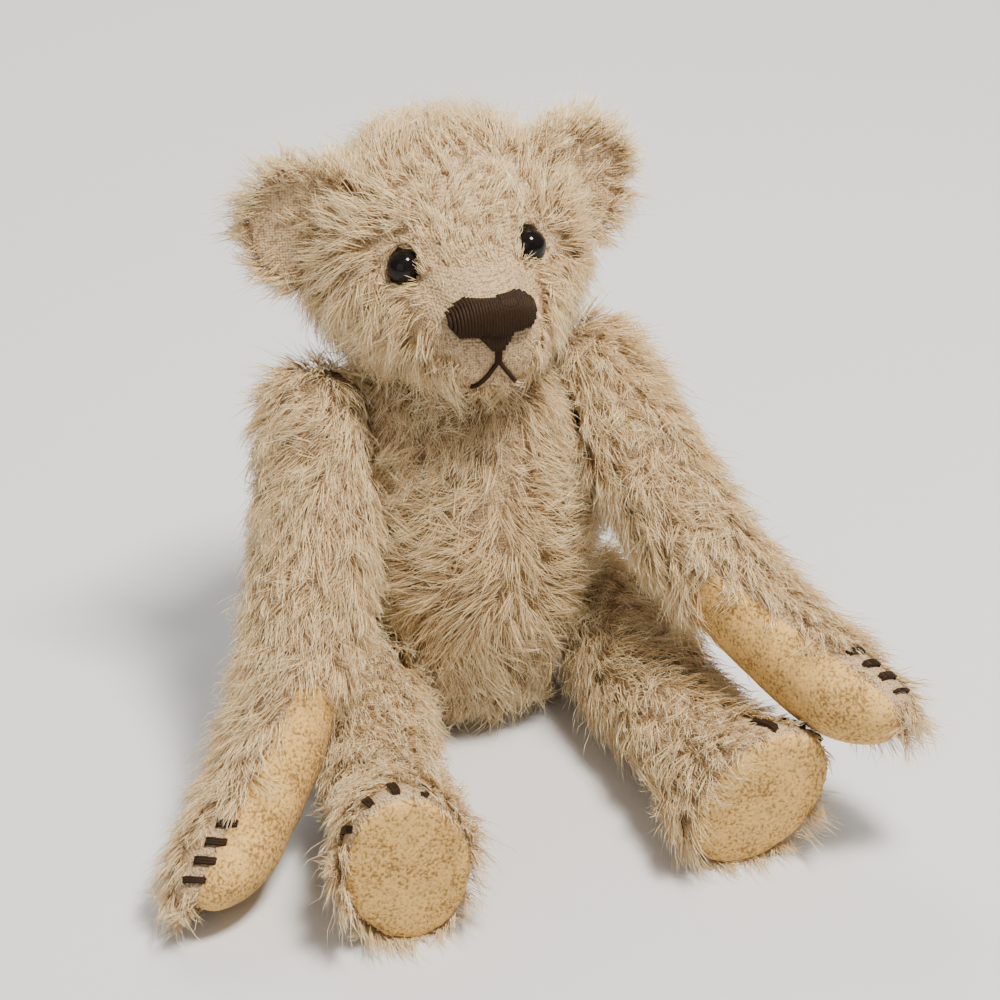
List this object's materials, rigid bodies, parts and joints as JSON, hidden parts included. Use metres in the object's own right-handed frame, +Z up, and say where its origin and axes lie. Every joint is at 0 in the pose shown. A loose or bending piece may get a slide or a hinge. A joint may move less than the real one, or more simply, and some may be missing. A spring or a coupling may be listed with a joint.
{
  "type": "jointed teddy bear",
  "caption": "Seated mohair teddy bear with disc joints at the neck, shoulders and hips, suede paws, glass eyes and a stitched nose.",
  "frame": {"origin": "centre of the flat patch of the torso that the bear sits on, on the plane it sits on", "axes": "+Z up, -Y the way the torso faces, +X the bear's own left"},
  "size_m": [0.1279, 0.1085, 0.1126],
  "materials": {
    "mohair": "sparse curled mohair pile on a tan woven backing",
    "suede": "napped golden tan suede",
    "stuffing": "firm wood wool and fibre",
    "dark_thread": "dark brown embroidery thread",
    "pale_thread": "strong tan sewing thread",
    "eye_glass": "opaque black glass, polished",
    "hardboard": "pressed hardboard",
    "steel": "plain mild steel"
  },
  "bodies": {
    "torso": {"torso_panel_left": "mohair", "torso_panel_right": "mohair", "torso_stuffing": "stuffing", "torso_closing_stitches": "pale_thread", "torso_washers": "steel", "neck_torso_disc": "hardboard", "left_shoulder_torso_disc": "hardboard", "left_hip_torso_disc": "hardboard", "right_shoulder_torso_disc": "hardboard", "right_hip_torso_disc": "hardboard"},
    "head": {"head_gusset": "mohair", "head_side_left": "mohair", "head_side_right": "mohair", "head_stuffing": "stuffing", "nose_stitching": "dark_thread", "mouth_stitching": "dark_thread", "eye_left": "eye_glass", "eye_right": "eye_glass", "eye_wire_left": "steel", "eye_wire_right": "steel", "ear_left_front": "mohair", "ear_left_back": "mohair", "ear_right_front": "mohair", "ear_right_back": "mohair", "neck_limb_disc": "hardboard", "neck_limb_washer": "steel", "neck_cotter_pin": "steel"},
    "left_arm": {"left_arm_outer_panel": "mohair", "left_arm_inner_panel": "mohair", "left_arm_paw_pad": "suede", "left_arm_stuffing": "stuffing", "left_arm_claws": "dark_thread", "left_shoulder_limb_disc": "hardboard", "left_shoulder_limb_washer": "steel", "left_shoulder_cotter_pin": "steel"},
    "left_leg": {"left_leg_outer_panel": "mohair", "left_leg_inner_panel": "mohair", "left_leg_foot_pad": "suede", "left_leg_stuffing": "stuffing", "left_leg_claws": "dark_thread", "left_hip_limb_disc": "hardboard", "left_hip_limb_washer": "steel", "left_hip_cotter_pin": "steel"},
    "right_arm": {"right_arm_outer_panel": "mohair", "right_arm_inner_panel": "mohair", "right_arm_paw_pad": "suede", "right_arm_stuffing": "stuffing", "right_arm_claws": "dark_thread", "right_shoulder_limb_disc": "hardboard", "right_shoulder_limb_washer": "steel", "right_shoulder_cotter_pin": "steel"},
    "right_leg": {"right_leg_outer_panel": "mohair", "right_leg_inner_panel": "mohair", "right_leg_foot_pad": "suede", "right_leg_stuffing": "stuffing", "right_leg_claws": "dark_thread", "right_hip_limb_disc": "hardboard", "right_hip_limb_washer": "steel", "right_hip_cotter_pin": "steel"}
  },
  "joints": [
    {"name": "neck_turn", "type": "hinge", "parent": "torso", "child": "head", "pos_m": [0, 0.0024, 0.0722], "axis": [0, 0, 1], "continuous": true},
    {"name": "left_arm_swing", "type": "hinge", "parent": "torso", "child": "left_arm", "pos_m": [0.0206, 0, 0.0596], "axis": [-0.9272, 0, -0.3746], "range_deg": [-150, 46]},
    {"name": "left_leg_swing", "type": "hinge", "parent": "torso", "child": "left_leg", "pos_m": [0.0172, -0.004, 0.0158], "axis": [-0.9877, 0, 0.1564], "range_deg": [-150, 0]},
    {"name": "right_arm_swing", "type": "hinge", "parent": "torso", "child": "right_arm", "pos_m": [-0.0206, 0, 0.0596], "axis": [-0.9272, 0, 0.3746], "range_deg": [-130, 67]},
    {"name": "right_leg_swing", "type": "hinge", "parent": "torso", "child": "right_leg", "pos_m": [-0.0172, -0.004, 0.0158], "axis": [-0.9877, 0, -0.1564], "range_deg": [-150, 2]}
  ]
}
